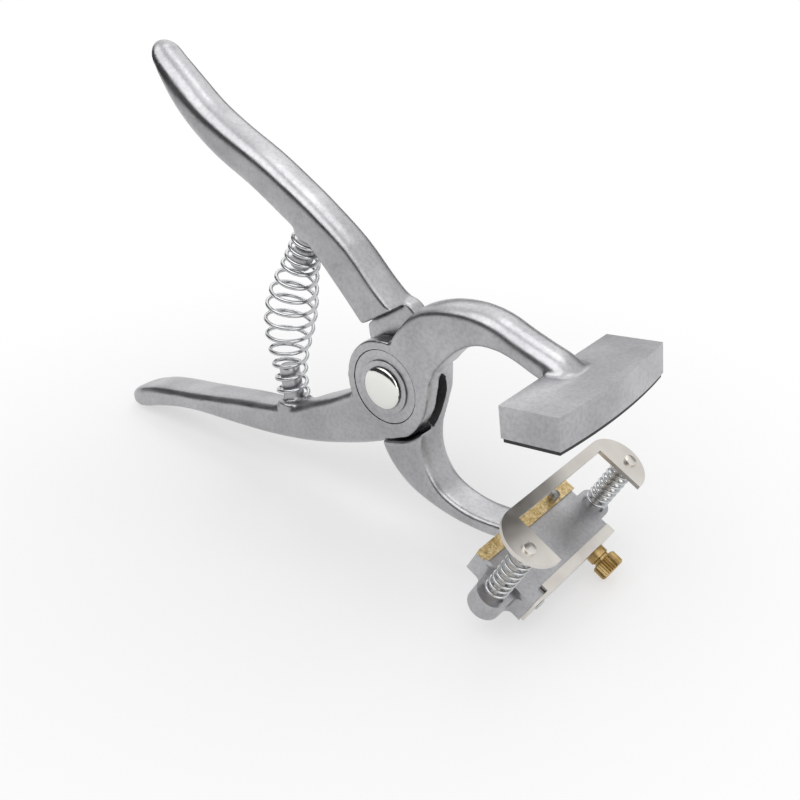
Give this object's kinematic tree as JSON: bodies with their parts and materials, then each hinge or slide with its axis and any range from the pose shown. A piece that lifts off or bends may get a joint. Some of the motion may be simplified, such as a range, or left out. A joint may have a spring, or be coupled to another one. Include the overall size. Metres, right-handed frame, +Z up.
{
  "type": "tattoo pliers",
  "caption": "Sprung hand pliers that tattoo digits into livestock ears: cast levers on a rivet, padded anvil, digit holder with release plate, hinged gate and knurled screw.",
  "frame": {"origin": "middle of the foot of the box that holds the released pliers, on the surface they stand on", "axes": "+X from the handles to the jaws, +Y along the rivet away from its riveted near head, +Z up"},
  "size_m": [0.2231, 0.0668, 0.1487],
  "materials": {
    "cast_metal": "satin cast",
    "nickel_sheet": "satin nickel",
    "bright_steel": "bright zinc",
    "polished_steel": "polished",
    "brass": "machined",
    "pad_rubber": "matt"
  },
  "bodies": {
    "holder": {"holder_lever": "cast_metal", "backing_bar": "brass", "bar_pin": "bright_steel", "bar_rivets": "bright_steel", "pivot_rivet": "polished_steel", "washer_near": "cast_metal", "washer_far": "cast_metal", "gate_rivet": "bright_steel", "handle_spring": "bright_steel", "plate_spring_near": "bright_steel", "plate_spring_far": "bright_steel"},
    "anvil_arm": {"anvil_lever": "cast_metal", "anvil_pad": "pad_rubber"},
    "release": {"release_plate": "nickel_sheet", "guide_pin_near": "nickel_sheet", "guide_pin_far": "nickel_sheet", "pin_clip_near": "bright_steel", "pin_clip_far": "bright_steel"},
    "gate": {"gate": "nickel_sheet"},
    "screw": {"thumb_screw": "brass"}
  },
  "joints": [
    {"name": "jaw_close", "type": "hinge", "parent": "holder", "child": "anvil_arm", "pos_m": [0.03466, 0, 0.05289], "axis": [0, 1, 0], "range_deg": [0, 33.5], "stiffness_Nm_per_rad": 1.5, "springref_deg": -20.05, "deforming": ["handle_spring"]},
    {"name": "release_slide", "type": "slide", "parent": "holder", "child": "release", "axis": [-0.4749, 0, -0.88], "range_m": [0, 0.012], "stiffness_N_per_m": 900, "springref_m": -0.004, "deforming": ["plate_spring_near", "plate_spring_far"]},
    {"name": "gate_swing", "type": "hinge", "parent": "holder", "child": "gate", "pos_m": [0.10201, -0.0195, 0.01029], "axis": [0.88, 0, -0.4749], "range_deg": [0, 120]},
    {"name": "screw_turn", "type": "hinge", "parent": "holder", "child": "screw", "pos_m": [0.10469, 0.0145, 0.00578], "axis": [0.88, 0, -0.4749], "continuous": true}
  ],
  "couplings": [
    {"joint": "release_slide", "follows": "jaw_close", "m_per_rad": 0.0205}
  ]
}
